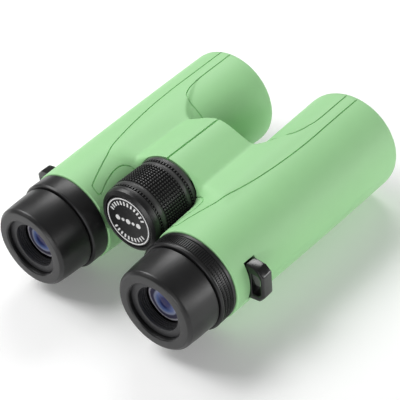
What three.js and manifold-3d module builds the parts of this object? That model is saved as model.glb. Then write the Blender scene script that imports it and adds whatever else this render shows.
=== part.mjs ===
// Roof-prism binoculars, 10x42 class, lying belly down.
// Millimetres. +X is the user's right, +Y points from the eyepieces to the objectives, +Z is up.
// The origin is the middle of the footprint, under the hinge, on the surface that the barrels lie on.

import * as THREE from 'three';
import { mergeVertices } from 'three/addons/utils/BufferGeometryUtils.js';
import Module from 'manifold-3d';

const wasm = await Module();
wasm.setup();

// Driving dimensions

const EYE_SPACING = 71;           // between the two optical axes, opened out to the stop
const BARREL_Z = 25.6;            // optical axes above the table
const HINGE_RISE = 13.1;          // hinge axis above the optical axes
const HINGE_Z = BARREL_Z + HINGE_RISE;
const FRONT_Y = 72.8;             // objective rims
const REAR_Y = -72.8;             // eyecup rims
const GAP = 0.3;                  // clearance between pieces that touch
const BRIDGE_FRONT = 17.8;
const BRIDGE_REAR = -17.7;
const KNUCKLE_R = 13.6;
const AXLE_R = 8;
const FOLD_WEDGE = 66;            // degrees below level where each half's hinge cover ends
const WHEEL_R = 16.3;
const WHEEL_REAR = -46.5;
const WHEEL_FRONT = -18.4;
const ARM_WINDOW = [-7, 6.6];     // inside the bridge, where the focus arms run 2.6 each way
const CASTING_REAR = -45.4;
const CASTING_FRONT = 66.9;
const ARM_HALF_WIDTH = 2;
const BORE_R = 18.2;              // prism chamber
const OBJECTIVE_R = 21.3;         // objective lenses, 42 mm clear
const CUP_R = 20.2;
const CUP_FRONT = -55.5;
const RING_REAR = -54.9;          // collar on the left, dioptre ring on the right
const RING_FRONT = -46;
const RING_R = 21.5;
const OCULAR_R = 15.6;

const ROUND = 32;                 // facets of the pieces that show
const ROUND_CASTING = 24;
const ROUND_INNER = 16;

// Solids

function toSolid(geometry) {
  const bare = geometry.clone();
  bare.deleteAttribute('normal');
  bare.deleteAttribute('uv');
  const merged = mergeVertices(bare, 1e-4);
  const corners = merged.index.array;
  const kept = [];
  for (let i = 0; i < corners.length; i += 3) {
    const [a, b, c] = [corners[i], corners[i + 1], corners[i + 2]];
    if (a !== b && b !== c && c !== a) kept.push(a, b, c);
  }
  return new wasm.Manifold(new wasm.Mesh({
    numProp: 3,
    vertProperties: new Float32Array(merged.attributes.position.array),
    triVerts: new Uint32Array(kept),
  }));
}

function toGeometry(solid) {
  const mesh = solid.getMesh();
  const geometry = new THREE.BufferGeometry();
  geometry.setAttribute('position', new THREE.BufferAttribute(mesh.vertProperties, 3));
  geometry.setIndex(new THREE.BufferAttribute(mesh.triVerts, 1));
  geometry.computeVertexNormals();
  return geometry;
}

// A piece turned about the Y axis from its half section, given as [radius, y] points.
function turned(points, facets = ROUND_INNER) {
  let area = 0;
  points.forEach(([r, y], i) => {
    const [r2, y2] = points[(i + 1) % points.length];
    area += r * y2 - r2 * y;
  });
  const ordered = area > 0 ? points : [...points].reverse();
  const startsOnAxis = points.some(([r]) => r === 0);
  const outline = startsOnAxis ? fromAxis(ordered) : [...ordered, ordered[0]];
  return toSolid(new THREE.LatheGeometry(outline.map(([r, y]) => new THREE.Vector2(r, y)), facets));
}

// Turns a closed outline's order so that it begins and ends on the axis.
function fromAxis(points) {
  const count = points.length;
  const start = points.findIndex(([r], i) => r === 0 && points[(i + 1) % count][0] > 0);
  return points.map((_, i) => points[(start + i) % count]);
}

function tube(rIn, rOut, y0, y1, facets) {
  return turned([[rOut, y0], [rOut, y1], [rIn, y1], [rIn, y0]], facets);
}

function rod(r, y0, y1, facets) {
  return turned([[0, y0], [r, y0], [r, y1], [0, y1]], facets);
}

function shapeOf(points) {
  return new THREE.Shape(points.map(([a, b]) => new THREE.Vector2(a, b)));
}

// A plate with its outline in X and Z, running from y0 to y1.
function plateXZ(points, y0, y1) {
  const geometry = new THREE.ExtrudeGeometry(shapeOf(points), { depth: y1 - y0, bevelEnabled: false });
  return toSolid(geometry.rotateX(Math.PI / 2).translate(0, y1, 0));
}

// A plate with its outline in Y and Z, running from x0 to x1.
function plateYZ(points, x0, x1) {
  const geometry = new THREE.ExtrudeGeometry(shapeOf(points), { depth: x1 - x0, bevelEnabled: false });
  const turn = new THREE.Matrix4().makeBasis(
    new THREE.Vector3(0, 1, 0), new THREE.Vector3(0, 0, 1), new THREE.Vector3(1, 0, 0));
  return toSolid(geometry.applyMatrix4(turn).translate(x0, 0, 0));
}

// A plate with its outline in X and Y, running from z0 to z1.
function plateXY(points, z0, z1) {
  const geometry = new THREE.ExtrudeGeometry(shapeOf(points), { depth: z1 - z0, bevelEnabled: false });
  return toSolid(geometry.translate(0, 0, z0));
}

function box(x0, x1, y0, y1, z0, z1) {
  const geometry = new THREE.BoxGeometry(x1 - x0, y1 - y0, z1 - z0);
  return toSolid(geometry.translate((x0 + x1) / 2, (y0 + y1) / 2, (z0 + z1) / 2));
}

function arc(cx, cy, r, fromDeg, toDeg, steps) {
  return Array.from({ length: steps + 1 }, (_, i) => {
    const a = THREE.MathUtils.degToRad(fromDeg + (toDeg - fromDeg) * i / steps);
    return [cx + r * Math.cos(a), cy + r * Math.sin(a)];
  });
}

// Scene graph

const binoculars = new THREE.Group();
const hinge = new THREE.Group();
hinge.position.set(0, 0, HINGE_Z);
binoculars.add(hinge);

const finishes = {
  armour: { color: 0xa3db9d, roughness: 0.6, metalness: 0 },
  casting: { color: 0x2b2d2c, roughness: 0.5, metalness: 0.3 },
  rubber: { color: 0x1b1b1c, roughness: 0.55, metalness: 0 },
  plastic: { color: 0x242426, roughness: 0.45, metalness: 0 },
  blackened: { color: 0x101011, roughness: 0.8, metalness: 0.2 },
  steel: { color: 0xb4b7ba, roughness: 0.3, metalness: 1 },
  brass: { color: 0xb08d4a, roughness: 0.35, metalness: 1 },
  glass: { color: 0x5a5f9c, roughness: 0.05, metalness: 0 },
};

function add(parent, name, finish, solid) {
  const material = new THREE.MeshStandardMaterial(finishes[finish]);
  const mesh = new THREE.Mesh(toGeometry(solid), material);
  mesh.name = name;
  parent.add(mesh);
}

// Outer form of one half, in barrel coordinates: the optical axis is the Y axis,
// and "out" is +1 on the right half and -1 on the left half.

const ARMOUR_REAR = -45.7;
const armourOutline = [
  [21.5, ARMOUR_REAR], [21.9, -40], [22.7, -30], [23.2, -15], [23.7, 0], [24.3, 20], [24.9, 40],
  [25.35, 60], [25.6, 69], [25.1, 71.2], [23.7, FRONT_Y],
];
const castingOutline = [
  [19.6, CASTING_REAR], [19.6, -17], [21.2, 0], [22.4, 30], [23.5, 48], [23.5, CASTING_FRONT],
];

const towards = (out) => ([x, z]) => [out * (x - EYE_SPACING / 2), z + HINGE_RISE];

function hingeRod(out, r, y0, y1, facets = ROUND_CASTING) {
  return rod(r, y0, y1, facets).translate(-out * EYE_SPACING / 2, 0, HINGE_RISE);
}

// The bridge between barrel and hinge: a ridge over the hinge, a shallow valley, then the barrel.
const bridgeOutline = [
  [0.15, 0], [0.15, 16.1], [3.4, 15.8], [8.9, 13.6], [14.3, 11.1], [18, 9.9], [22, 9.6], [33.5, 9.9],
  [35.5, -13.1], [14, -20.6], ...arc(0, 0, 16, -FOLD_WEDGE, -FOLD_WEDGE, 1).slice(1),
];
const webOutline = (grow) => [
  [8, 10.9 + grow], [18, 6.8 + grow], [32, 6.8 + grow],
  [32, -17 - grow], [17, -15.5 - grow], [7, -11.5 - grow],
];

// Plan of the bridge: a straight front edge that sweeps forward into the barrel.
const planOutline = [
  [0, BRIDGE_REAR], [0, BRIDGE_FRONT], ...arc(9, 27.8, 10, 270, 360, 4), [35.5, 27.8], [35.5, BRIDGE_REAR],
];

// Strap lug, a flat loop that stands out from the barrel. X is outwards from the optical axis.
const LUG_Y = [-37.5, -31.5];
const lugOutline = [[20, 10.4], [26.5, 9.6], [29.3, 6.8], [29.3, -4.2], [26.6, -7.4], [20, -8]];
const lugHole = [[22.9, 6.4], [26.2, 6], [27.3, 4.8], [27.3, -3.2], [26.2, -4.6], [22.9, -4.8]];
const LUG_SCREW_Z = 1;

const mirrored = (points, out) => points.map(([a, b]) => [out * a, b]);

// Outer form of one half's metal casting, grown all round by the given amount.
function castingForm(out, grow) {
  const place = towards(out);
  const outline = castingOutline.map(([r, y]) => [r + grow, y]);
  outline[0][1] -= grow * 4;
  outline[outline.length - 1][1] += grow;
  const ends = [[0, CASTING_FRONT + grow], [0, CASTING_REAR - grow * 4]];
  const barrel = turned([...outline, ...ends], ROUND_CASTING);
  const web = webOutline(grow).map(place);
  return barrel.add(plateXZ(web, BRIDGE_REAR + GAP - grow, BRIDGE_FRONT - GAP - 0.1 + grow));
}

function armour(out) {
  const place = towards(out);
  const barrel = turned([...armourOutline, [0, FRONT_Y], [0, ARMOUR_REAR]], ROUND);
  const plan = plateXY(planOutline.map(([x, y]) => [out * (x - EYE_SPACING / 2), y]), -60, 60);
  const bridge = plateXZ(bridgeOutline.map(place), BRIDGE_REAR - 1, 30).intersect(plan);
  const pocket = [[17, 10.7], [27, 10.7], [27, -8.3], [17, -8.3]];
  const lugPocket = plateXZ(mirrored(pocket, out), LUG_Y[0] - GAP, LUG_Y[1] + GAP);
  return barrel.add(bridge)
    .subtract(castingForm(out, GAP))
    .subtract(rod(OBJECTIVE_R + 0.8, CASTING_FRONT, FRONT_Y + 1, ROUND))
    .subtract(hingeRod(out, KNUCKLE_R + GAP, -19, BRIDGE_FRONT + 1))
    .subtract(hingeRod(out, WHEEL_R + 0.8, WHEEL_REAR - 2, BRIDGE_REAR))
    .subtract(lugPocket);
}

// Hinge knuckles along Y, taken in turns by the two castings.
const KNUCKLES = { '-1': [[-17.4, -12.3], [10.3, 17.4]], '1': [[-12, -7.3], [6.9, 10]] };
const HINGE_SPAN = [-18, 18];

// A bar from the hinge axis towards the optical axis, across the bridge.
function bridgeBar(out, fromHinge, toHinge, halfWidth, y0, y1) {
  const tilt = Math.atan2(HINGE_RISE, EYE_SPACING / 2);
  return box(fromHinge, toHinge, y0, y1, -halfWidth, halfWidth)
    .rotate([0, THREE.MathUtils.radToDeg(tilt), 0])
    .scale([out, 1, 1])
    .translate(-out * EYE_SPACING / 2, 0, HINGE_RISE);
}

function casting(out) {
  let solid = castingForm(out, 0);
  const bore = [
    [15.9, CASTING_REAR - 1], [15.9, -43.4], [BORE_R, -43.4], [BORE_R, 14], [20.8, 18], [20.8, 50],
    [22.6, 50], [22.6, CASTING_FRONT + 1], [0, CASTING_FRONT + 1], [0, CASTING_REAR - 1],
  ];
  solid = solid.subtract(hingeRod(out, KNUCKLE_R + GAP, ...HINGE_SPAN));
  for (const [y0, y1] of KNUCKLES[out]) {
    const reach = bridgeBar(out, 0, 18, 6.5, y0, y1);
    solid = solid.add(hingeRod(out, KNUCKLE_R, y0, y1).add(reach));
  }
  const pin = rod(1.75, 0, 8, 12).rotate([0, 0, -90]).translate(17, 0, 0).scale([out, 1, 1]);
  return solid
    .subtract(turned(bore, ROUND_CASTING))
    .subtract(hingeRod(out, AXLE_R + GAP, ...HINGE_SPAN))
    .subtract(bridgeBar(out, 0, 24, 5, ...ARM_WINDOW))
    .subtract(pin.translate(0, (LUG_Y[0] + LUG_Y[1]) / 2, LUG_SCREW_Z));
}

function strapLug(out) {
  const blindHole = rod(1.75, 0, 2.4, 12).rotate([0, 0, -90]).translate(19.9, 0, 0);
  const loop = plateXZ(lugOutline, ...LUG_Y)
    .subtract(plateXZ(lugHole, LUG_Y[0] - 1, LUG_Y[1] + 1))
    .subtract(blindHole.translate(0, (LUG_Y[0] + LUG_Y[1]) / 2, LUG_SCREW_Z));
  return loop.scale([out, 1, 1]);
}

function lugScrew(out) {
  const screw = turned([[0, 0], [2.3, 0], [2.3, 0.9], [1.4, 0.9], [1.4, 5.2], [0, 5.2]], 12);
  return screw.rotate([0, 0, -90])
    .translate(16.8, (LUG_Y[0] + LUG_Y[1]) / 2, LUG_SCREW_Z)
    .scale([out, 1, 1]);
}

// Objective end: the cell screws into the casting and holds a cemented pair of lenses.

function objectiveCell() {
  return turned([[22.3, 50.4], [22.3, 66.6], [21.7, 66.6], [21.7, 52.6], [19.8, 52.6], [19.8, 50.4]],
    ROUND_CASTING);
}

function objectiveRing() {
  return turned([[21.4, 64.4], [21.4, 66.2], [21, 66.2], [20.5, 64.4]], ROUND_CASTING);
}

function domed(r, edgeRear, edgeFront, sagRear, sagFront, facets = ROUND_INNER) {
  const points = [[0, edgeRear - sagRear]];
  for (const t of [0.55, 0.85]) points.push([r * t, edgeRear - sagRear * (1 - t * t)]);
  points.push([r, edgeRear], [r, edgeFront]);
  for (const t of [0.85, 0.55]) points.push([r * t, edgeFront + sagFront * (1 - t * t)]);
  points.push([0, edgeFront + sagFront]);
  return turned(points, facets);
}

// Focusing group: a lens in a cell, on an arm that the nut in the hinge pushes along.

function focusArm(out, y0, y1) {
  const collar = tube(5.8, 8.6, y0, y1, ROUND_INNER).translate(-out * EYE_SPACING / 2, 0, HINGE_RISE);
  const bar = bridgeBar(out, 7.5, 25, ARM_HALF_WIDTH, y0, y1);
  const clear = rod(15.8, y0 - 1, y1 + 1);
  return collar.add(bar.subtract(clear));
}

// Sleeve that closes the hinge around the focus arms. It is fixed to the left half, so the left arm
// has a plain slot and the right arm's slot is as long as the fold.
const LEFT_ARM_SLOT = [188, 213];
const RIGHT_ARM_SLOT = [-76, -8];

function hingeSleeve() {
  const wedge = ([from, to]) => plateXZ([[0, 0], ...arc(0, 0, 20, from, to, 4)], -6.2, 5.9);
  return tube(12.9, KNUCKLE_R, ARM_WINDOW[0], ARM_WINDOW[1], ROUND_CASTING)
    .subtract(wedge(LEFT_ARM_SLOT))
    .subtract(wedge(RIGHT_ARM_SLOT));
}

// Prism group: a half-penta prism and a roof prism, a thin air gap apart, in a tubular holder.

const halfPenta = [[-9.6, -11], [-9.6, 11.4], [-11.3, 11.4], [-27.7, -5], [-21.7, -11]];
const roofPrism = [[-12.3, 11], [-28.3, -5], [-35.4, -2], [-35.4, 11]];

function roofed(solid) {
  const ridge = box(-12, 12, -40, -5, -12, 12).rotate([0, 45, 0]).translate(0, 0, -5.9);
  return solid.intersect(ridge);
}

function prismHolder() {
  return turned([
    [16.4, -38], [16.4, -9.6], [17.9, -9.6], [17.9, -8], [15.6, -8], [15.6, -36.6], [9, -36.6], [9, -38],
  ]);
}

// Eyepiece end.

function ocularHousing(front) {
  return turned([
    [OCULAR_R, -68.6], [OCULAR_R, -42.4], [17.6, -42.4], [17.6, -40.9], [OCULAR_R, -40.9],
    [OCULAR_R, front], [13.6, front], [13.6, -68.6],
  ], ROUND_CASTING);
}

function eyecup() {
  return turned([
    [CUP_R, CUP_FRONT], [18.1, CUP_FRONT], [18.1, -71], [13.74, -71], [13.74, -72.2], [14.4, REAR_Y],
    [17.3, REAR_Y], [18.7, -72.1], [19.4, -70.6], [19.8, -66],
  ], ROUND);
}

// The two halves

for (const [side, out] of [['left', -1], ['right', 1]]) {
  const half = new THREE.Group();
  half.position.set(out * EYE_SPACING / 2, 0, BARREL_Z);
  binoculars.add(half);
  const put = (name, finish, solid) => add(half, `${side}_${name}`, finish, solid);
  const [armRear, armFront] = out < 0 ? [-3.2, -0.4] : [0.1, 2.9];

  put('casting', 'casting', casting(out));
  put('armour', 'armour', armour(out));
  put('strap_lug', 'plastic', strapLug(out));
  put('lug_screw', 'steel', lugScrew(out));

  put('objective_cell', 'blackened', objectiveCell());
  put('objective_rear_lens', 'glass', domed(OBJECTIVE_R, 53.6, 55.8, 0, 1.6));
  put('objective_front_lens', 'glass', domed(OBJECTIVE_R, 56.2, 63.9, -1.6, 2.2));
  put('objective_ring', 'blackened', objectiveRing());

  put('focus_arm', 'brass', focusArm(out, armRear, armFront));
  put('focus_cell', 'blackened', tube(13.9, 15.4, -3.3, 3.2));
  put('focus_lens', 'glass', domed(13.6, -1.6, 1.6, -1, -0.6));

  put('prism_holder', 'plastic', prismHolder());
  put('half_penta_prism', 'glass', plateYZ(halfPenta, -10, 10));
  put('roof_prism', 'glass', roofed(plateYZ(roofPrism, -10, 10)));
  put('prism_clip', 'steel', box(-4, 4, -31, -13, 12.2, 12.8));

  put('ocular_housing', 'casting', ocularHousing(-39.4));
  put('field_stop', 'blackened', tube(8, 13.3, -42.4, -41.2));
  put('field_lens', 'glass', domed(13, -49.6, -46.4, 0, 2.2));
  put('lens_spacer', 'blackened', tube(12.1, 13.3, -58.6, -50));
  put('eye_lens', 'glass', domed(13, -63.6, -59.8, 2.2, 0.6));
  put('ocular_bezel', 'plastic', turned([
    [15.3, -70.3], [15.3, -68.9], [13.2, -68.9], [13.2, -65.6], [9.8, -65.6], [9.8, -67], [10.6, -68.6],
    [10.6, -70.3],
  ], ROUND_CASTING));
  put(out < 0 ? 'collar' : 'dioptre_ring', 'plastic', turned([
    [RING_R, RING_FRONT], [15.95, RING_FRONT], [15.95, RING_REAR], [20.9, RING_REAR], [RING_R, RING_REAR + 0.8],
  ], ROUND));
  put('glide_ring', 'brass', tube(15.95, 16.6, -60.4, -58.4, ROUND_CASTING));
  put('eyecup_sleeve', 'plastic', tube(16.9, 17.8, -70.7, -57.4, ROUND_CASTING));
  put('eyecup', 'rubber', eyecup());
}

// Hinge, spindle and focus wheel, all turned about the hinge axis

const WINDOW_REAR = KNUCKLES['1'][0][1];
const WINDOW_FRONT = KNUCKLES['1'][1][0];
const NUT_R = 5.5;
const SPINDLE_R = 2.9;
const CAP_R = 6.8;                // tripod socket cap, seated in a recess of the cover

add(hinge, 'hinge_axle_rear', 'steel', tube(SPINDLE_R + 0.4, AXLE_R, -17.4, WINDOW_REAR));
add(hinge, 'hinge_axle_front', 'steel', turned([
  [AXLE_R, WINDOW_FRONT], [AXLE_R, 17.4], [3.2, 17.4], [3.2, 8.4], [0, 8.4], [0, WINDOW_FRONT],
]));
add(hinge, 'hinge_sleeve', 'casting', hingeSleeve());
add(hinge, 'hinge_front_cover', 'plastic', turned([
  [13.3, 17.7], [13.3, 19.3], [CAP_R + 0.6, 19.3], [CAP_R + 0.6, 18.6], [4.2, 18.6], [4.2, 17.7],
], ROUND_CASTING));
add(hinge, 'tripod_socket_cap', 'plastic', turned([
  [0, 11], [2.8, 11], [2.8, 18.9], [CAP_R, 18.9], [CAP_R, 20.5], [CAP_R - 0.6, 21.1], [0, 21.1],
], ROUND_CASTING));
add(hinge, 'focus_nut', 'brass', tube(SPINDLE_R + 0.3, NUT_R, -3.4, 3.4));
add(hinge, 'focus_spindle', 'steel', rod(SPINDLE_R, -19.6, 6.4));
add(hinge, 'wheel_hub', 'plastic', turned([
  [12.4, -45], [12.4, -18.7], [3.2, -18.7], [3.2, -20], [0, -20], [0, -22.5], [10.6, -22.5], [10.6, -45],
]));
add(hinge, 'wheel_grip', 'rubber', turned([
  [12.7, -46.2], [12.7, WHEEL_FRONT], [15.9, WHEEL_FRONT], [WHEEL_R, -19.2], [WHEEL_R, -21], [15.9, -21.6],
  [15.7, -44.2], [15.2, -45.4], [14.2, -46.3], [13.3, WHEEL_REAR],
], ROUND));
add(hinge, 'wheel_badge', 'plastic', rod(12.4, -46, -45.3, ROUND));

export default binoculars;
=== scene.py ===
import math

import bmesh
import bpy
import numpy as np
from mathutils import Matrix, Vector


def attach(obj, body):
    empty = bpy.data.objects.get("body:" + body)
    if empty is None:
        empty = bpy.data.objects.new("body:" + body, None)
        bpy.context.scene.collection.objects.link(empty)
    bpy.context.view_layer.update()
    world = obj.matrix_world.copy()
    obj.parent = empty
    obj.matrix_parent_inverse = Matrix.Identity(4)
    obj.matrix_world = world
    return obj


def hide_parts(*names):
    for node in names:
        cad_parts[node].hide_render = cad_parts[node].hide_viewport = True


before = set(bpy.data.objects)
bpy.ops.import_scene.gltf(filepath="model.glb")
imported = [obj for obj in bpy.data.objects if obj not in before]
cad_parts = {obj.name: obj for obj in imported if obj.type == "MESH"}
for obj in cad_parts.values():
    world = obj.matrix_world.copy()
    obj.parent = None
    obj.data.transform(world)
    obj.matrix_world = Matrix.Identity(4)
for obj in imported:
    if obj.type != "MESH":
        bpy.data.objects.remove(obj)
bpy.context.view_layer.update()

# ---------------------------------------------------------------------------------------------
# The studio: a pale table in a pale room, with a big soft light high on the left, one behind, two
# low on the right and a card in front of the eyepieces. The camera looks down over the right
# eyepiece and is turned a few degrees about its own line of sight.

MM = 0.001
AXIS_HEIGHT = 25.6 * MM
CAMERA_AZIMUTH = 42.13
CAMERA_ELEVATION = 37.57
CAMERA_ROLL = -5.23
CAMERA_DISTANCE = 529.1 * MM
CAMERA_LENS = 104.8
CAMERA_SENSOR = 36
AIM_RIGHT, AIM_UP = 0.7 * MM, -4.0 * MM
TABLE_HALF = 3
TABLE_GLOW = 0.12
ROOM_GLOW = 0.17
LIGHT_DISTANCE = 0.9


def facing(azimuth, elevation, roll=0.0):
    """Right, up and backward directions of a camera that looks at the object from that side."""
    a, e = math.radians(azimuth), math.radians(elevation)
    back = Vector((math.sin(a) * math.cos(e), -math.cos(a) * math.cos(e), math.sin(e)))
    level = Vector((math.cos(a), math.sin(a), 0))
    turn = Matrix.Rotation(math.radians(roll), 3, back)
    return turn @ level, turn @ back.cross(level), back


def add_camera():
    right, up, back = facing(CAMERA_AZIMUTH, CAMERA_ELEVATION, CAMERA_ROLL)
    aim = Vector((0, 0, AXIS_HEIGHT)) + AIM_RIGHT * right + AIM_UP * up
    data = bpy.data.cameras.new("camera")
    data.lens = CAMERA_LENS
    data.sensor_width = CAMERA_SENSOR
    data.clip_start = 0.01
    camera = bpy.data.objects.new("camera", data)
    camera.matrix_world = Matrix.Translation(aim + CAMERA_DISTANCE * back) @ Matrix(
        (right, up, back)).transposed().to_4x4()
    bpy.context.scene.collection.objects.link(camera)
    bpy.context.scene.camera = camera


def add_light(name, azimuth, elevation, size, watts):
    """A soft rectangular light of that size in metres, which faces the object."""
    data = bpy.data.lights.new(name, "AREA")
    data.shape = "RECTANGLE"
    data.size, data.size_y = size
    data.energy = watts
    right, up, back = facing(azimuth, elevation)
    light = bpy.data.objects.new(name, data)
    light.matrix_world = Matrix.Translation(LIGHT_DISTANCE * back) @ Matrix(
        (right, up, back)).transposed().to_4x4()
    bpy.context.scene.collection.objects.link(light)


def node(tree, kind, inputs=(), **settings):
    """A shader node with its settings, and its inputs linked or set by name or number."""
    made = tree.nodes.new(kind)
    for key, value in settings.items():
        setattr(made, key, value)
    for key, value in dict(inputs).items():
        if isinstance(value, bpy.types.NodeSocket):
            tree.links.new(value, made.inputs[key])
        else:
            made.inputs[key].default_value = value
    return made


def add_floor():
    bm = bmesh.new()
    bmesh.ops.create_grid(bm, x_segments=4, y_segments=4, size=TABLE_HALF)
    mesh = bpy.data.meshes.new("table_top")
    bm.to_mesh(mesh)
    bm.free()
    floor = bpy.data.objects.new("table_top", mesh)
    bpy.context.scene.collection.objects.link(floor)
    material = bpy.data.materials.new("white_laminate")
    material.use_nodes = True
    tree = material.node_tree
    where = node(tree, "ShaderNodeTexCoord").outputs["Object"]
    cloud = node(tree, "ShaderNodeTexNoise", {"Vector": where, "Scale": 6.0})
    tint = node(tree, "ShaderNodeMix", {
        "Factor": cloud.outputs["Fac"], "A": (0.93, 0.93, 0.93, 1), "B": (0.95, 0.95, 0.95, 1)},
        data_type="RGBA")
    shader = tree.nodes["Principled BSDF"]
    shader.inputs["Roughness"].default_value = 0.9
    shader.inputs["Emission Color"].default_value = (1, 1, 1, 1)
    shader.inputs["Emission Strength"].default_value = TABLE_GLOW
    tree.links.new(tint.outputs["Result"], shader.inputs["Base Color"])
    mesh.materials.append(material)


def add_room():
    world = bpy.data.worlds.new("pale_room")
    world.use_nodes = True
    background = world.node_tree.nodes["Background"]
    background.inputs["Color"].default_value = (1, 1, 1, 1)
    background.inputs["Strength"].default_value = ROOM_GLOW
    bpy.context.scene.world = world


add_camera()
add_floor()
add_room()
add_light("key_softbox", -70, 50, (0.55, 0.45), 6.2)
add_light("back_softbox", -145, 45, (0.45, 0.3), 2.5)
add_light("side_softbox", 95, 20, (0.6, 0.35), 1.4)
add_light("side_strip", 126, 8, (0.5, 0.2), 1.8)
add_light("eyepiece_card", 15, 10, (0.5, 0.3), 2.2)
bpy.context.scene.view_settings.view_transform = "Standard"

# ---------------------------------------------------------------------------------------------
# Metal castings, hinge pins, spindle and the other machined pieces. The castings are magnesium
# alloy, shot-blasted and blackened, and show only in the joints; pins and screws are turned steel,
# and the nut and focus arms are brass.

GLOSS_SPREAD = 0.06


def finish(name, colour, roughness, metallic=0.0, mottle=0.12, cloud_size=6.0, grain_size=0.35,
           grain_depth=0.02, **extra):
    """A solid finish with soft patches in its colour and gloss and a fine grain in its surface.

    Sizes and depths are in millimetres. Extra values go to the shader's own inputs."""
    material = bpy.data.materials.new(name)
    material.use_nodes = True
    tree = material.node_tree
    shader = tree.nodes["Principled BSDF"]
    where = node(tree, "ShaderNodeTexCoord").outputs["Object"]
    cloud = node(tree, "ShaderNodeTexNoise", {
        "Vector": where, "Scale": 1 / (cloud_size * MM), "Detail": 3.0, "Roughness": 0.6})
    dark = [c * (1 - mottle) for c in colour] + [1]
    light = [min(1, c * (1 + mottle)) for c in colour] + [1]
    tint = node(tree, "ShaderNodeMix", {
        "Factor": cloud.outputs["Fac"], "A": dark, "B": light}, data_type="RGBA")
    gloss = node(tree, "ShaderNodeMapRange", {
        "Value": cloud.outputs["Fac"], "To Min": roughness - GLOSS_SPREAD,
        "To Max": roughness + GLOSS_SPREAD})
    grain = node(tree, "ShaderNodeTexNoise", {
        "Vector": where, "Scale": 1 / (grain_size * MM), "Detail": 2.0})
    bump = node(tree, "ShaderNodeBump", {
        "Height": grain.outputs["Fac"], "Distance": grain_depth * MM, "Strength": 1.0})
    tree.links.new(tint.outputs["Result"], shader.inputs["Base Color"])
    tree.links.new(gloss.outputs["Result"], shader.inputs["Roughness"])
    tree.links.new(bump.outputs["Normal"], shader.inputs["Normal"])
    shader.inputs["Metallic"].default_value = metallic
    for key, value in extra.items():
        shader.inputs[key.replace("_", " ")].default_value = value
    return material


def dress(material, *nodes):
    """Gives CAD nodes their finish, in every material slot they have."""
    for name in nodes:
        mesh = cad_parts[name].data
        if not mesh.materials:
            mesh.materials.append(material)
        for index in range(len(mesh.materials)):
            mesh.materials[index] = material


SIDES = ("left", "right")
blasted_alloy = finish("blasted_alloy", (0.022, 0.023, 0.023), 0.55, 0.6, grain_size=0.25)
turned_steel = finish("turned_steel", (0.56, 0.57, 0.58), 0.3, 1.0, mottle=0.05, grain_depth=0.004)
turned_brass = finish("turned_brass", (0.66, 0.48, 0.2), 0.32, 1.0, mottle=0.06, grain_depth=0.004)
blackened = finish("blackened", (0.008, 0.008, 0.009), 0.75, grain_depth=0.008)
black_moulding = finish("black_moulding", (0.013, 0.013, 0.014), 0.42, grain_depth=0.01)

dress(blasted_alloy, "hinge_sleeve")
dress(turned_steel, "hinge_axle_front", "focus_spindle")
dress(turned_brass, "focus_nut")
for side in SIDES:
    dress(blasted_alloy, f"{side}_casting")
    dress(turned_steel, f"{side}_lug_screw", f"{side}_prism_clip")
    dress(turned_brass, f"{side}_focus_arm")
    dress(blackened, f"{side}_focus_cell", f"{side}_field_stop", f"{side}_lens_spacer")
    dress(black_moulding, f"{side}_prism_holder")

# ---------------------------------------------------------------------------------------------
# Rubber armour, one skin for each half, moulded over the casting in mint-green rubber about 2 mm
# thick. Barrel, bridge and hinge cover flow into each other; the halves meet along the hinge's top.
# Parting grooves outline a grip panel near the objective and a tongue beside the focus wheel.

EYE_SPACING = 71.0
HINGE_RISE = 13.1
HINGE_HEIGHT = AXIS_HEIGHT / MM + HINGE_RISE
ARMOUR_REAR, ARMOUR_FRONT = -45.7, 72.8
BRIDGE_REAR, BRIDGE_FRONT = -17.7, 17.8
BRIDGE_TOP, BRIDGE_BOTTOM, BRIDGE_SIDE = 9.2, -13.5, 31
HINGE_CREST, HINGE_CREST_HALF = 6.9, 19
HINGE_COVER_R = 16.0
HINGE_BORE_R = 13.9
HINGE_BORE_END = 19.5
REAR_SKIN, FRONT_SKIN = 0.9, 0.5
FRONT_SWEEP, SWEEP_START = 0.07, 16.5
TOP_EDGE, SIDE_EDGE, END_EDGE, REAR_EDGE = 2.5, 4.0, 1.6, 4.5
BARREL_FILLET, COVER_FILLET = 6.5, 1.5
WHEEL_NEST_R = 16.8
SKIN_BACK_R = 19.9
SEAM_GAP = 0.14
RELIEF_ANGLE = 66
GROOVE_R = 0.42
GROOVE_SINK = 0.15
GROOVE_STEPS = 160
ARC_STEPS = 5


def barrel_radius(y):
    return 23.75 + 0.033 * y - 0.0001 * y * y


def smooth_min(a, b, k):
    """The lesser of two depths, blended by a fillet where they differ by less than k."""
    h = np.maximum(k - np.abs(a - b), 0) / k
    return np.minimum(a, b) - h * h * k / 4


def smooth_max(a, b, k):
    return -smooth_min(-a, -b, k)


def armour_depth(x, y, z):
    """How far a point is outside the skin of the right half: x from the hinge, z above it."""
    barrel = np.hypot(x - EYE_SPACING / 2, z + HINGE_RISE) - barrel_radius(y)
    crest = HINGE_CREST * np.maximum(0, 1 - (np.abs(x) / HINGE_CREST_HALF) ** 1.4)
    slab = smooth_max(z - (BRIDGE_TOP + crest), BRIDGE_BOTTOM - z, TOP_EDGE)
    slab = smooth_max(slab, x - BRIDGE_SIDE, SIDE_EDGE)
    web = smooth_min(slab, np.hypot(x, z) - HINGE_COVER_R, COVER_FILLET)
    front = BRIDGE_FRONT + FRONT_SKIN + FRONT_SWEEP * np.maximum(0, x - SWEEP_START) ** 2
    rear = BRIDGE_REAR - REAR_SKIN
    rear_edge = np.interp(x, (9, HINGE_CREST_HALF), (END_EDGE, REAR_EDGE))
    web = smooth_max(smooth_max(web, y - front, END_EDGE), rear - y, rear_edge)
    return smooth_min(barrel, web, BARREL_FILLET)


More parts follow.
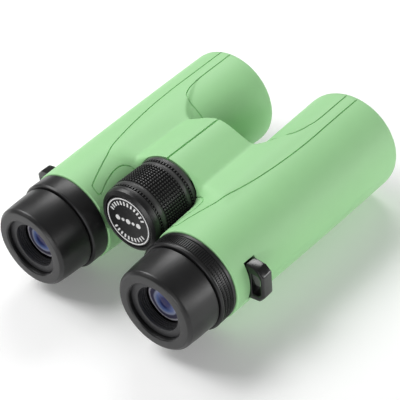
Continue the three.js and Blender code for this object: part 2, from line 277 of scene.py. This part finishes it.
def armour_reach(y, angle):
    """Distance from the optical axis to the skin, for each y and angle (0 is level, outwards).

    It starts well outside and walks inwards, by a share of what is left at each step."""
    reach = np.full(np.shape(y), 50.0)
    along_x, along_z = np.cos(angle), np.sin(angle)
    outside = np.ones(np.shape(y), bool)
    while outside.any() and reach.min() > 15:
        x = EYE_SPACING / 2 + reach * along_x
        z = reach * along_z - HINGE_RISE
        gap = armour_depth(x, y, z)
        outside = gap > 0.005
        reach = np.where(outside, reach - np.maximum(gap, 0.005) * 0.7, reach)
    return reach


def with_arcs(corners):
    """Rounds the corners of an outline. A corner is (r, y) or (r, y, radius of its rounding)."""
    points = []
    count = len(corners)
    for i, corner in enumerate(corners):
        here = Vector(corner[:2])
        if len(corner) < 3:
            points.append(here)
            continue
        before = (Vector(corners[i - 1][:2]) - here).normalized()
        after = (Vector(corners[(i + 1) % count][:2]) - here).normalized()
        half = before.angle(after) / 2
        reach = corner[2] / math.tan(half)
        centre = here + (before + after).normalized() * corner[2] / math.sin(half)
        start, end = here + before * reach - centre, here + after * reach - centre
        sweep = start.angle_signed(end)
        points += [centre + Matrix.Rotation(-sweep * s / ARC_STEPS, 2) @ start
                   for s in range(ARC_STEPS + 1)]
    return points


def spun(outline, steps, closed=True):
    """A mesh turned about the Y axis from an outline of (radius, y) in millimetres."""
    bm = bmesh.new()
    verts = [bm.verts.new((r, y, 0)) for r, y in outline]
    edges = [bm.edges.new(pair) for pair in zip(verts, verts[1:])]
    if closed and outline[0][0] > 1e-6:
        edges.append(bm.edges.new((verts[-1], verts[0])))
    bmesh.ops.spin(bm, geom=verts + edges, cent=(0, 0, 0), axis=(0, 1, 0),
                   angle=2 * math.pi, steps=steps, use_merge=True)
    bmesh.ops.remove_doubles(bm, verts=bm.verts, dist=1e-5)
    bmesh.ops.dissolve_degenerate(bm, edges=bm.edges, dist=1e-5)
    bmesh.ops.recalc_face_normals(bm, faces=bm.faces)
    return bm


def smooth_faces(mesh, sharp=32):
    """Shades a mesh smooth but for its edges sharper than that angle in degrees."""
    mesh.shade_smooth()
    mesh.set_sharp_from_angle(angle=math.radians(sharp))


def piece(name, bm, material, sharp=32):
    """Makes a bmesh in metres a shown object with its finish, smooth but for its sharp edges."""
    mesh = bpy.data.meshes.new(name)
    bm.to_mesh(mesh)
    bm.free()
    made = bpy.data.objects.new(name, mesh)
    bpy.context.scene.collection.objects.link(made)
    mesh.materials.append(material)
    smooth_faces(mesh, sharp)
    return made


def cut(target, cutter):
    """Cuts one closed mesh object with another, which is then thrown away."""
    modifier = target.modifiers.new("cut", "BOOLEAN")
    modifier.operation = "DIFFERENCE"
    modifier.solver = "MANIFOLD"
    modifier.object = cutter
    graph = bpy.context.evaluated_depsgraph_get()
    result = bpy.data.meshes.new_from_object(target.evaluated_get(graph))
    target.modifiers.clear()
    old = target.data
    target.data = result
    bpy.data.meshes.remove(old)
    bpy.data.objects.remove(cutter)


def groove_line(points):
    """A round cutter that follows the skin through (y, angle in degrees) points of a groove."""
    ys, angles = np.array(points, float).T
    at = np.linspace(0, len(points) - 1, GROOVE_STEPS)
    y, angle = smooth_through(ys, at), np.radians(smooth_through(angles, at))
    reach = armour_reach(y, np.pi - angle) - GROOVE_SINK
    x = EYE_SPACING / 2 + reach * np.cos(np.pi - angle)
    z = reach * np.sin(angle) - HINGE_RISE
    curve = bpy.data.curves.new("groove", "CURVE")
    curve.dimensions = "3D"
    curve.bevel_depth = GROOVE_R * MM
    curve.bevel_resolution = 1
    curve.use_fill_caps = True
    spline = curve.splines.new("POLY")
    spline.points.add(GROOVE_STEPS - 1)
    for point, px, py, pz in zip(spline.points, x, y, z):
        point.co = (px * MM, py * MM, pz * MM + HINGE_HEIGHT * MM, 1)
    line = bpy.data.objects.new("groove", curve)
    bpy.context.scene.collection.objects.link(line)
    graph = bpy.context.evaluated_depsgraph_get()
    mesh = bpy.data.meshes.new_from_object(line.evaluated_get(graph))
    bpy.data.objects.remove(line)
    bm = bmesh.new()
    bm.from_mesh(mesh)
    bmesh.ops.remove_doubles(bm, verts=bm.verts, dist=1e-7)
    bmesh.ops.recalc_face_normals(bm, faces=bm.faces)
    bm.to_mesh(mesh)
    bm.free()
    tube = bpy.data.objects.new("groove_cutter", mesh)
    bpy.context.scene.collection.objects.link(tube)
    return tube


def smooth_through(values, at):
    """A smooth (Catmull-Rom) curve through evenly spaced values, at fractions of their index."""
    padded = np.concatenate(([2 * values[0] - values[1]], values, [2 * values[-1] - values[-2]]))
    i = np.minimum(at.astype(int), len(values) - 2)
    t = at - i
    a, b, c, d = padded[i], padded[i + 1], padded[i + 2], padded[i + 3]
    return 0.5 * (2 * b + (c - a) * t + (2 * a - 5 * b + 4 * c - d) * t ** 2
                  + (3 * b - a - 3 * c + d) * t ** 3)


def on_right(bm):
    """Moves a mesh in millimetres from the Y axis to the right optical axis, in metres."""
    bmesh.ops.translate(bm, verts=bm.verts, vec=(EYE_SPACING / 2, 0, AXIS_HEIGHT / MM))
    bmesh.ops.scale(bm, verts=bm.verts, vec=(MM, MM, MM))
    return bm


def on_hinge(bm):
    """Moves a mesh in millimetres from the Y axis to the hinge axis, in metres."""
    bmesh.ops.translate(bm, verts=bm.verts, vec=(0, 0, HINGE_HEIGHT))
    bmesh.ops.scale(bm, verts=bm.verts, vec=(MM, MM, MM))
    return bm


def right_armour():
    """The right skin with its hollow, trimmed along the hinge so that the halves can fold."""
    rows = np.arange(ARMOUR_REAR + 1.2, 68.5, 0.8)
    rim = with_arcs([
        (barrel_radius(60), 60), (25.55, ARMOUR_FRONT, 3.6), (22.5, ARMOUR_FRONT, 0.5),
        (22.0, 66.9), (23.8, 66.9), (23.8, 48), (22.7, 30), (21.5, 0), (SKIN_BACK_R, -17),
        (SKIN_BACK_R, ARMOUR_REAR, 0.2), (barrel_radius(ARMOUR_REAR), ARMOUR_REAR, 0.7),
        (barrel_radius(-40), -40)])
    outline = [Vector((barrel_radius(y), y)) for y in rows] + rim[1:-1]
    bm = spun(outline, 240)
    points = np.array([v.co for v in bm.verts])
    radius = np.hypot(points[:, 0], points[:, 2])
    angle = np.arctan2(points[:, 2], points[:, 0])
    skin = (radius > barrel_radius(points[:, 1]) - 0.02) & (points[:, 1] < 62)
    reach = np.where(skin, armour_reach(points[:, 1], angle), radius)
    for vert, r, a in zip(bm.verts, reach, angle):
        vert.co.x, vert.co.z = r * math.cos(a), r * math.sin(a)
    on_right(bm)
    hinge = Vector((0, 0, HINGE_HEIGHT * MM))
    seam = Vector((-1, 0, 0))
    slant = math.radians(RELIEF_ANGLE)
    relief = Vector((-math.sin(slant), 0, -math.cos(slant)))
    for co, normal in ((hinge + Vector((SEAM_GAP * MM, 0, 0)), seam), (hinge, relief)):
        bmesh.ops.bisect_plane(bm, geom=bm.verts[:] + bm.edges[:] + bm.faces[:], dist=1e-7,
                               plane_co=co, plane_no=normal, clear_outer=True)
        rim_edges = [e for e in bm.edges if e.is_boundary]
        bmesh.ops.triangle_fill(bm, use_beauty=True, edges=rim_edges)
    bmesh.ops.recalc_face_normals(bm, faces=bm.faces)
    return piece("right_armour_skin", bm, mint_rubber)


def prism(outline, y0, y1):
    """A bar along Y with an outline of (x, z) points in millimetres about the hinge axis."""
    bm = bmesh.new()
    face = bm.faces.new([bm.verts.new((x, y0, z)) for x, z in outline])
    pushed = bmesh.ops.extrude_face_region(bm, geom=[face])["geom"]
    bmesh.ops.translate(bm, verts=[v for v in pushed if isinstance(v, bmesh.types.BMVert)],
                        vec=(0, y1 - y0, 0))
    bmesh.ops.recalc_face_normals(bm, faces=bm.faces)
    return on_hinge(bm)


def mirrored(name, right):
    """The left-hand copy of a right-hand piece."""
    mesh = right.data.copy()
    mesh.name = name
    mesh.transform(Matrix.Scale(-1, 4, (1, 0, 0)))
    mesh.flip_normals()
    made = bpy.data.objects.new(name, mesh)
    bpy.context.scene.collection.objects.link(made)
    return made


def stands_for(made, slot, body, *nodes):
    """Lets a shown piece ride on a body in place of the CAD nodes that it replaces."""
    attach(made, body)
    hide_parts(*nodes)


# Grooves as (y, angle above level, inwards): the edge of the tongue, and the edge of the panel.
LONG_SEAM = [
    (73.4, 99.4), (60, 99.2), (45.8, 99.1), (31.1, 99), (14.7, 96.8), (-2.3, 91.6), (-17.2, 83.8),
    (-25.3, 77.1), (-32.4, 70), (-38, 63.7), (-40.6, 60.6), (-41.4, 59.2), (-41.6, 57),
    (-42, 50), (-41.7, 47.4), (-40.9, 46.6), (-39.4, 47.6), (-35.2, 52.8), (-30.7, 56.7),
    (-26.3, 58.7), (-23.2, 57.4), (-21.3, 52.9), (-20.4, 46.5), (-19.6, 38)]
PANEL_SEAM = [
    (73.4, 87.1), (60, 86.8), (47, 86.4), (40.8, 84.8), (35.5, 82.2), (31.2, 77.7), (29, 69.6),
    (28.2, 58.7), (27.7, 43.9), (27.7, 20), (27.7, -8), (27.9, -36), (28.6, -60), (30.4, -76),
    (34, -84), (40, -86.6), (50, -87), (62, -87), (73.4, -87)]

mint_rubber = finish("mint_rubber", (0.345, 0.67, 0.315), 0.55, mottle=0.03, cloud_size=9,
                     grain_size=0.22, grain_depth=0.006, Sheen_Weight=0.12)
# Outlines as (x, z) from the hinge axis: room for the casting's bridge and for the strap lug's
# foot, and the groove along the top where the halves meet.
WEB_SPACE = [(8, 11.2), (18, 7.1), (24, 7.1), (24, -17.3), (17, -15.8), (7, -11.8)]
LUG_POCKET = [(52.5, -2.4), (62.5, -2.4), (62.5, -21.4), (52.5, -21.4)]
LUG_POCKET_Y = (-37.8, -31.2)
TOP_SEAM = [(-0.4, 16.6), (-0.4, 14.9), (0.15, 14.9), (0.6, 16.6)]
skin = right_armour()
for cutter in (
        on_hinge(spun([(0, -HINGE_BORE_END), (HINGE_BORE_R, -HINGE_BORE_END),
                       (HINGE_BORE_R, 19), (0, 19)], 128)),
        on_hinge(spun([(0, -52), (WHEEL_NEST_R + 0.5, -52), (WHEEL_NEST_R, BRIDGE_REAR - 1.0),
                       (WHEEL_NEST_R, BRIDGE_REAR), (0, BRIDGE_REAR)], 160)),
        prism(WEB_SPACE, BRIDGE_REAR, BRIDGE_FRONT - 0.1),
        prism(LUG_POCKET, *LUG_POCKET_Y)):
    cut(skin, piece("armour_cutter", cutter, mint_rubber))
for seam_points in (LONG_SEAM, PANEL_SEAM):
    cut(skin, groove_line(seam_points))
cut(skin, piece("armour_cutter", prism(TOP_SEAM, -19, 20), mint_rubber))
smooth_faces(skin.data)
stands_for(skin, "armour", "right_half", "right_armour")
stands_for(mirrored("left_armour_skin", skin), "armour", "left_half", "left_armour")

# ---------------------------------------------------------------------------------------------
# Strap lugs: a flat loop moulded in glossy black nylon beside each barrel, its edges rounded. Its
# foot sits in a pocket of the armour, and a screw from inside the casting holds it.

LUG_REAR, LUG_FRONT = -37.5, -31.5
# Outlines as (x, z) from the optical axis.
LUG_OUTLINE = [(20, 10.4), (26.5, 9.6), (29.3, 6.8), (29.3, -4.2), (26.6, -7.4), (20, -8)]
LUG_HOLE = [(22.9, 6.4), (26.2, 6), (27.3, 4.8), (27.3, -3.2), (26.2, -4.6), (22.9, -4.8)]
HOLE_EDGE, RIM_EDGE = 0.45, 0.85
SOFT_EDGE = dict(segments=3, profile=0.5, affect="EDGES", material=-1, clamp_overlap=True)


def fold_angle(edge):
    """Angle in degrees between the two faces at an edge."""
    return math.degrees(edge.calc_face_angle(0)) if len(edge.link_faces) == 2 else 0


def right_lug():
    bm = bmesh.new()
    for ring in (LUG_OUTLINE, LUG_HOLE):
        verts = [bm.verts.new((x, LUG_REAR, z)) for x, z in ring]
        for pair in zip(verts, verts[1:] + verts[:1]):
            bm.edges.new(pair)
    bmesh.ops.bridge_loops(bm, edges=bm.edges[:])
    pushed = bmesh.ops.extrude_face_region(bm, geom=bm.faces[:])["geom"]
    bmesh.ops.translate(bm, verts=[v for v in pushed if isinstance(v, bmesh.types.BMVert)],
                        vec=(0, LUG_FRONT - LUG_REAR, 0))
    bmesh.ops.recalc_face_normals(bm, faces=bm.faces)
    hole = {(round(x, 3), round(z, 3)) for x, z in LUG_HOLE}
    inner = [e for e in bm.edges if fold_angle(e) > 15 and all(
        (round(v.co.x, 3), round(v.co.z, 3)) in hole for v in e.verts)]
    bmesh.ops.bevel(bm, geom=inner, offset=HOLE_EDGE, **SOFT_EDGE)
    outer = [e for e in bm.edges if fold_angle(e) > 24 and all(
        v.co.x > 27.7 or v.co.z > 8 or v.co.z < -6.5 for v in e.verts)]
    bmesh.ops.bevel(bm, geom=outer, offset=RIM_EDGE, **SOFT_EDGE)
    return on_right(bm)


glossy_nylon = finish("glossy_nylon", (0.007, 0.007, 0.0075), 0.22, grain_depth=0.005,
                      Coat_Weight=0.3, Coat_Roughness=0.15)
lug = piece("right_strap_lug_loop", right_lug(), glossy_nylon, sharp=24)
stands_for(lug, "lug_plastic", "right_half", "right_strap_lug")
stands_for(mirrored("left_strap_lug_loop", lug), "lug_plastic", "left_half", "left_strap_lug")

# ---------------------------------------------------------------------------------------------
# Objective ends: a blackened aluminium cell screwed into each barrel holds two coated lenses of
# ground glass, and a threaded ring keeps them in.

GLASS_IOR, COATING_IOR = 1.62, 1.38


def distance_from_axis(tree, where, x, z):
    """Distance of a shading point from a line along Y at (x, z), the same on both sides."""
    axes = node(tree, "ShaderNodeSeparateXYZ", {0: where})
    across = node(tree, "ShaderNodeMath", {0: axes.outputs["X"]}, operation="ABSOLUTE")
    offset = node(tree, "ShaderNodeMath", {0: across.outputs[0], 1: x}, operation="SUBTRACT")
    lift = node(tree, "ShaderNodeMath", {0: axes.outputs["Z"], 1: z}, operation="SUBTRACT")
    flat = node(tree, "ShaderNodeCombineXYZ", {"X": offset.outputs[0], "Y": lift.outputs[0]})
    length = node(tree, "ShaderNodeVectorMath", {0: flat.outputs[0]}, operation="LENGTH")
    return length.outputs["Value"]


def glass_with_painted_reflections(name, rings, reach, film):
    """Coated lens over a dark barrel, with painted reflections: rings of colour out to its reach,
    blurred and broken up.
    """
    material = bpy.data.materials.new(name)
    material.use_nodes = True
    tree = material.node_tree
    shader = tree.nodes["Principled BSDF"]
    where = node(tree, "ShaderNodeTexCoord").outputs["Object"]
    distance = distance_from_axis(tree, where, EYE_SPACING / 2 * MM, AXIS_HEIGHT)
    bloom = node(tree, "ShaderNodeTexNoise", {"Vector": where, "Scale": 1 / (7 * MM)})
    shake = node(tree, "ShaderNodeMath", {
        0: bloom.outputs["Fac"], 1: 0.18 * reach * MM, 2: distance}, operation="MULTIPLY_ADD")
    share = node(tree, "ShaderNodeMapRange", {"Value": shake.outputs[0], "From Max": reach * MM})
    ramp = node(tree, "ShaderNodeValToRGB", {"Fac": share.outputs["Result"]})
    stops = ramp.color_ramp.elements
    for place, colour in rings[2:]:
        stops.new(place)
    for stop, (place, colour) in zip(stops, rings):
        stop.position = place
        stop.color = (*colour, 1)
    tree.links.new(ramp.outputs["Color"], shader.inputs["Base Color"])
    smear = node(tree, "ShaderNodeTexNoise", {"Vector": where, "Scale": 1 / (3 * MM)})
    gloss = node(tree, "ShaderNodeMapRange", {
        "Value": smear.outputs["Fac"], "To Min": 0.03, "To Max": 0.06})
    tree.links.new(gloss.outputs["Result"], shader.inputs["Roughness"])
    shader.inputs["IOR"].default_value = GLASS_IOR
    shader.inputs["Thin Film Thickness"].default_value = film
    shader.inputs["Thin Film IOR"].default_value = COATING_IOR
    return material


def lens_outline(radius, edge_rear, edge_front, sag_rear, sag_front, steps=10):
    """Half section of a lens whose faces bulge by their sags past the y of their edges."""
    rise = [i / steps for i in range(steps + 1)]
    rear = [(radius * t, edge_rear - sag_rear * (1 - t * t)) for t in rise]
    front = [(radius * t, edge_front + sag_front * (1 - t * t)) for t in reversed(rise)]
    return rear + front


def turned_pair(name, outline, material, slot, bodies, nodes, steps=96, closed=True):
    """A turned piece on the right optical axis and its copy on the left one."""
    right = piece(f"right_{name}", on_right(spun(outline, steps, closed)), material)
    stands_for(right, slot, bodies[1], f"right_{nodes}")
    stands_for(mirrored(f"left_{name}", right), slot, bodies[0], f"left_{nodes}")


HALVES = ("left_half", "right_half")
# The objective glass carries painted reflections: a bluer ring near its rim.
objective_painted_reflections = glass_with_painted_reflections("objective_painted_reflections", [
    (0.0, (0.006, 0.008, 0.014)), (0.6, (0.01, 0.016, 0.034)), (0.85, (0.03, 0.05, 0.09)),
    (0.97, (0.006, 0.008, 0.014))], 21, 240)
turned_pair("objective_cell_turned", with_arcs([
    (22.3, 50.4), (22.3, 66.6, 0.15), (21.7, 66.6, 0.15), (21.7, 52.6), (19.8, 52.6),
    (19.8, 50.4)]), blackened, "blackened", HALVES, "objective_cell")
turned_pair("objective_ring_turned", with_arcs([
    (21.4, 64.4), (21.4, 66.2, 0.15), (20.95, 66.2, 0.15), (20.5, 64.4)]), blackened,
    "blackened", HALVES, "objective_ring")
turned_pair("objective_rear_lens_ground", lens_outline(21.3, 53.6, 55.8, 0, 1.6),
            objective_painted_reflections, "glass", HALVES, "objective_rear_lens", closed=False)
turned_pair("objective_front_lens_ground", lens_outline(21.3, 56.2, 63.9, -1.6, 2.2, 16),
            objective_painted_reflections, "glass", HALVES, "objective_front_lens", closed=False)

# ---------------------------------------------------------------------------------------------
# Prisms and focusing lenses sit inside the barrels: barium crown glass, ground and coated, in
# black moulded holders. Only their faces catch a little light.

# The prism and lens faces carry a painted reflection, bluer towards their edges.
inner_painted_reflections = glass_with_painted_reflections("inner_painted_reflections", [
    (0.0, (0.01, 0.012, 0.02)), (1.0, (0.05, 0.06, 0.1))], 16, 280)
for side in SIDES:
    dress(inner_painted_reflections, f"{side}_half_penta_prism", f"{side}_roof_prism", f"{side}_focus_lens",
          f"{side}_field_lens")

# ---------------------------------------------------------------------------------------------
# Ends of the hinge: a moulded cover is pressed over the front of the hinge pin, and a screw cap
# with a coin slot closes the tripod socket in its middle. At the rear are the steel pin and the
# focus wheel's moulded hub.

SLOT_SIZE = (9.2, 1.8, 1.5)


def coin_cap():
    cap = piece("tripod_socket_cap_turned", on_hinge(spun(with_arcs([
        (0, 11), (2.8, 11, 0.3), (2.8, 18.9), (6.8, 18.9, 0.2), (6.8, 20.5, 0.3),
        (6.2, 21.1, 0.3), (0, 21.1)]), 96, closed=False)), satin_moulding)
    bm = bmesh.new()
    bmesh.ops.create_cube(bm, size=1, matrix=Matrix.Translation((0, 21.1, 0)) @ Matrix.Diagonal(
        (*SLOT_SIZE, 1)))
    cut(cap, piece("coin_slot_cutter", on_hinge(bm), satin_moulding))
    smooth_faces(cap.data)
    return cap


satin_moulding = finish("satin_moulding", (0.009, 0.009, 0.0095), 0.36, grain_size=0.16,
                        grain_depth=0.01)
stands_for(coin_cap(), "ring_plastic", "tripod_cap", "tripod_socket_cap")
cover = piece("hinge_front_cover_turned", on_hinge(spun(with_arcs([
    (13.3, 17.7), (13.3, 19.3, 0.5), (7.4, 19.3, 0.2), (7.4, 18.6), (4.2, 18.6), (4.2, 17.7)]),
    128)), satin_moulding)
stands_for(cover, "ring_plastic", "left_half", "hinge_front_cover")
axle = piece("hinge_axle_rear_turned", on_hinge(spun([
    (3.3, -17.4), (8, -17.4), (8, -7.3), (3.3, -7.3)], 96)), turned_steel)
stands_for(axle, "steel", "left_half", "hinge_axle_rear")
hub = piece("wheel_hub_turned", on_hinge(spun([
    (12.4, -45), (12.4, -18.7), (3.2, -18.7), (3.2, -20), (0, -20), (0, -22.5), (10.6, -22.5),
    (10.6, -45)], 96)), satin_moulding)
stands_for(hub, "ring_plastic", "focus_wheel", "wheel_hub")

# ---------------------------------------------------------------------------------------------
# Focus wheel: a soft black rubber grip moulded over the hub, with a field of little pyramids
# between smooth bands and a row of notches at each end. The disc pressed into its face is printed
# with a white ring, ticks and dots.

GRIP_COUNT = 66
GRIP_FIELD = (-38.2, -24.4)
GRIP_ROWS = 10
GRIP_FLOOR = 15.2
NOTCH_ROWS = (-41.7, -21.4)
NOTCH_WIDTH = 1.3
BADGE_FACE = -46.0
PRINT_DEPTH = 0.1
TICK_R = 9.3
TICK_SIZE = (0.85, PRINT_DEPTH, 2.0)
DOT_PITCH = 2.9


def stud(bm, radius, y, angle, length, width, height, taper):
    """One raised pad on a wheel: a block whose top is narrowed, sunk 0.2 mm into its floor."""
    sink = 0.2
    place = Matrix.Rotation(angle, 4, "Y") @ Matrix.Translation(
        (radius + (height - sink) / 2, y, 0)) @ Matrix.Diagonal((height + sink, length, width, 1))
    made = bmesh.ops.create_cube(bm, size=1, matrix=place)["verts"]
    spoke = Vector((math.cos(angle), 0, -math.sin(angle)))
    crown = [v for v in made if v.co.dot(spoke) > radius + 0.01]
    centre = sum((v.co for v in crown), Vector()) / len(crown)
    for vert in crown:
        vert.co = centre + (vert.co - centre) * taper


def wheel_grip():
    """The grip's turned body, with pyramids in its field and ribs across its two notch rows."""
    rear, front = NOTCH_ROWS
    half = NOTCH_WIDTH / 2
    bm = spun(with_arcs([
        (12.7, -46.2), (12.7, -18.4), (15.9, -18.4, 0.4), (16.3, -19.2, 0.3),
        (16.2, front + half, 0.3), (15.3, front + half), (15.3, front - half),
        (15.75, front - half), (16.1, -23.2, 0.7), (15.75, GRIP_FIELD[1]),
        (GRIP_FLOOR, GRIP_FIELD[1]), (GRIP_FLOOR, GRIP_FIELD[0]), (15.6, GRIP_FIELD[0]),
        (15.95, -39.5, 1.0), (15.6, rear + half), (15.1, rear + half), (15.1, rear - half),
        (15.65, rear - half, 0.3), (15.5, -44.0, 1.2), (15.0, -45.4, 0.7),
        (13.4, -46.5, 0.3)]), 160)
    pitch = (GRIP_FIELD[1] - GRIP_FIELD[0]) / GRIP_ROWS
    for step in range(GRIP_COUNT):
        angle = 2 * math.pi * step / GRIP_COUNT
        for row in range(GRIP_ROWS):
            y = GRIP_FIELD[0] + (row + 0.5) * pitch
            stud(bm, GRIP_FLOOR, y, angle, pitch * 0.82, 1.2, 0.9, 0.42)
        for y, floor, height in ((rear, 15.1, 0.6), (front, 15.3, 0.8)):
            stud(bm, floor, y, angle, NOTCH_WIDTH + 0.02, 0.8, height, 0.7)
    return on_hinge(bm)


def badge_marks():
    """The print on the disc: a ring, two arcs of ticks and a row of dots, 0.1 mm proud."""
    top, middle = BADGE_FACE - PRINT_DEPTH, BADGE_FACE - PRINT_DEPTH / 2
    bm = spun([(11.15, BADGE_FACE), (11.15, top), (11.75, top), (11.75, BADGE_FACE)], 96)
    for degrees in (*range(-66, 67, 12), *range(126, 235, 12)):
        place = Matrix.Rotation(math.radians(degrees), 4, "Y") @ Matrix.Translation(
            (0, middle, TICK_R)) @ Matrix.Diagonal((*TICK_SIZE, 1))
        bmesh.ops.create_cube(bm, size=1, matrix=place)
    for step in range(-2, 3):
        radius = 0.8 if step % 2 else 1.25
        place = Matrix.Translation((step * DOT_PITCH, middle, 0)) @ Matrix.Rotation(
            math.pi / 2, 4, "X")
        bmesh.ops.create_cone(bm, cap_ends=True, segments=20, radius1=radius, radius2=radius,
                              depth=PRINT_DEPTH, matrix=place)
    return on_hinge(bm)


def paint_grip_tip_highlights(material):
    """Greys the grip by its distance from the hinge axis: dark valleys, and a painted highlight on
    the tips.
    """
    tree = material.node_tree
    shader = tree.nodes["Principled BSDF"]
    base = shader.inputs["Base Color"].links[0].from_socket
    where = node(tree, "ShaderNodeTexCoord").outputs["Object"]
    radius = distance_from_axis(tree, where, 0.0, HINGE_HEIGHT * MM)
    tip_highlight = node(tree, "ShaderNodeMapRange", {
        "Value": radius, "From Min": (GRIP_FLOOR + 0.25) * MM, "From Max": (GRIP_FLOOR + 0.8) * MM})
    tint = node(tree, "ShaderNodeMix", {
        "Factor": tip_highlight.outputs["Result"], "A": base, "B": (0.055, 0.055, 0.055, 1)},
        data_type="RGBA")
    tree.links.new(tint.outputs["Result"], shader.inputs["Base Color"])


knurled_rubber = finish("knurled_rubber", (0.008, 0.008, 0.0085), 0.38, grain_size=0.2,
                        grain_depth=0.01)
# The grip's pyramid tips get a painted highlight in lighter grey.
paint_grip_tip_highlights(knurled_rubber)
badge_black = finish("badge_black", (0.008, 0.008, 0.009), 0.5, grain_size=0.15,
                     grain_depth=0.006)
white_print = finish("white_print", (0.82, 0.82, 0.82), 0.5, mottle=0.04, cloud_size=1.5,
                     grain_size=0.1, grain_depth=0.004)
grip = piece("wheel_grip_moulded", wheel_grip(), knurled_rubber, sharp=28)
stands_for(grip, "wheel_rubber", "focus_wheel", "wheel_grip")
disc = piece("wheel_badge_disc", on_hinge(spun(with_arcs([
    (0, -45.3), (12.4, -45.3), (12.4, BADGE_FACE, 0.15), (0, BADGE_FACE)]), 96,
    closed=False)), badge_black)
stands_for(disc, "badge", "focus_wheel", "wheel_badge")
marks = piece("wheel_badge_print", badge_marks(), white_print)
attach(marks, "focus_wheel")

# ---------------------------------------------------------------------------------------------
# Eyepieces: an anodised housing carries the lenses. Behind the eye lens a dark grey moulded bezel
# narrows to the lens in fine steps, which keep stray light down.

# The eye lens carries painted reflections in blue and lilac rings, and a painted highlight in the
# pale ring near its rim.
eye_painted_reflections = glass_with_painted_reflections("eye_painted_reflections", [
    (0.0, (0.02, 0.025, 0.07)), (0.3, (0.015, 0.022, 0.09)), (0.48, (0.09, 0.13, 0.28)),
    (0.6, (0.24, 0.26, 0.35)), (0.66, (0.04, 0.04, 0.07)), (0.8, (0.06, 0.055, 0.09)),
    (0.87, (0.5, 0.49, 0.54)), (0.92, (0.03, 0.028, 0.035)), (1.0, (0.005, 0.005, 0.006))],
    11.5, 120)
dark_bezel = finish("dark_bezel", (0.028, 0.028, 0.03), 0.5, grain_size=0.18, grain_depth=0.012)
turned_pair("ocular_housing_turned", with_arcs([
    (15.6, -68.6, 0.2), (15.6, -42.4), (17.6, -42.4), (17.6, -40.9), (15.6, -40.9),
    (15.6, -39.4), (13.6, -39.4), (13.6, -68.6)]), blasted_alloy, "casting", HALVES,
    "ocular_housing")
funnel = [(10.6 - 0.2 * step + lip, -69.2 + 0.9 * step + move)
          for step in range(4) for lip, move in ((0, 0), (0, 0.55), (0.28, 0.57), (0.28, 0.88))]
turned_pair("ocular_bezel_turned", with_arcs([
    (10.6, -70.3, 0.4), (15.3, -70.3, 0.3), (15.3, -68.9), (13.2, -68.9), (13.2, -65.6),
    (9.8, -65.6)]) + [Vector(p) for p in reversed(funnel)], dark_bezel, "bezel_plastic",
    HALVES, "ocular_bezel")
turned_pair("eye_lens_ground", lens_outline(13, -63.6, -59.8, 2.2, 0.6), eye_painted_reflections, "glass",
            ("left_half", "right_ocular"), "eye_lens", closed=False)

# ---------------------------------------------------------------------------------------------
# The left collar and the right dioptre ring are satin black mouldings round the eyepiece housings.
# The collar is plain; the ring turns, and is cut with ribs on top and small pads elsewhere.

RING_REAR, RING_FRONT = -54.9, -46.0
RING_R = 21.5
PAD_COUNT = 132
PAD_FLOOR = 21.05
PAD_ROWS = (-52.5, -50.6, -48.7)
RIBBED = (50, 118)


def dioptre_ring():
    """The ring's turned body, with long ribs over part of its turn and three rows of pads."""
    bm = spun(with_arcs([
        (15.95, RING_FRONT), (15.95, RING_REAR), (20.9, RING_REAR, 0.3),
        (RING_R, RING_REAR + 0.7, 0.3), (RING_R, -53.6, 0.1), (PAD_FLOOR, -53.5),
        (PAD_FLOOR, -47.7), (RING_R, -47.6, 0.1), (RING_R, RING_FRONT, 0.4)]), 160)
    for step in range(PAD_COUNT):
        angle = 2 * math.pi * step / PAD_COUNT
        if RIBBED[0] < -math.degrees(angle) % 360 < RIBBED[1]:
            stud(bm, PAD_FLOOR, PAD_ROWS[1], angle, 5.3, 0.55, 0.42, 0.75)
        else:
            for y in PAD_ROWS:
                stud(bm, PAD_FLOOR, y, angle, 1.45, 0.6, 0.42, 0.7)
    return on_right(bm)


ring = piece("right_dioptre_ring_moulded", dioptre_ring(), satin_moulding, sharp=28)
stands_for(ring, "ring_plastic", "dioptre_ring", "right_dioptre_ring")
collar = piece("left_collar_moulded", on_right(spun(with_arcs([
    (15.95, RING_FRONT), (15.95, RING_REAR), (20.9, RING_REAR, 0.4),
    (RING_R, RING_REAR + 0.8, 0.5), (RING_R, RING_FRONT, 0.5)]), 128)), satin_moulding)
stands_for(mirrored("left_collar_fitted", collar), "ring_plastic", "left_half", "left_collar")
bpy.data.objects.remove(collar)

# ---------------------------------------------------------------------------------------------
# Twist-up eyecups: a smooth black rubber cup bonded to a nylon sleeve, which winds out along a
# helix on a brass glide ring. Its face is flat, with a soft outer shoulder.

CUPS = ("left_eyecup", "right_eyecup")
cup_rubber = finish("cup_rubber", (0.006, 0.006, 0.0064), 0.36, mottle=0.1, grain_size=0.18,
                    grain_depth=0.008, Sheen_Weight=0.05)
turned_pair("eyecup_moulded", with_arcs([
    (20.2, -55.5, 0.4), (18.1, -55.5), (18.1, -71), (13.74, -71), (13.74, -72.2, 0.2),
    (14.3, -72.8, 0.3), (18.0, -72.8, 1.0), (19.3, -71.4, 1.2), (19.75, -66)]), cup_rubber,
    "eyecup_rubber", CUPS, "eyecup", steps=128)
turned_pair("eyecup_sleeve_moulded", [
    (16.9, -70.7), (16.9, -57.4), (17.8, -57.4), (17.8, -70.7)], black_moulding, "lug_plastic",
    CUPS, "eyecup_sleeve")
turned_pair("glide_ring_turned", with_arcs([
    (15.95, -60.4), (15.95, -58.4), (16.6, -58.4, 0.2), (16.6, -60.4, 0.2)]), turned_brass,
    "brass", ("left_eyecup_glide", "right_eyecup_glide"), "glide_ring")
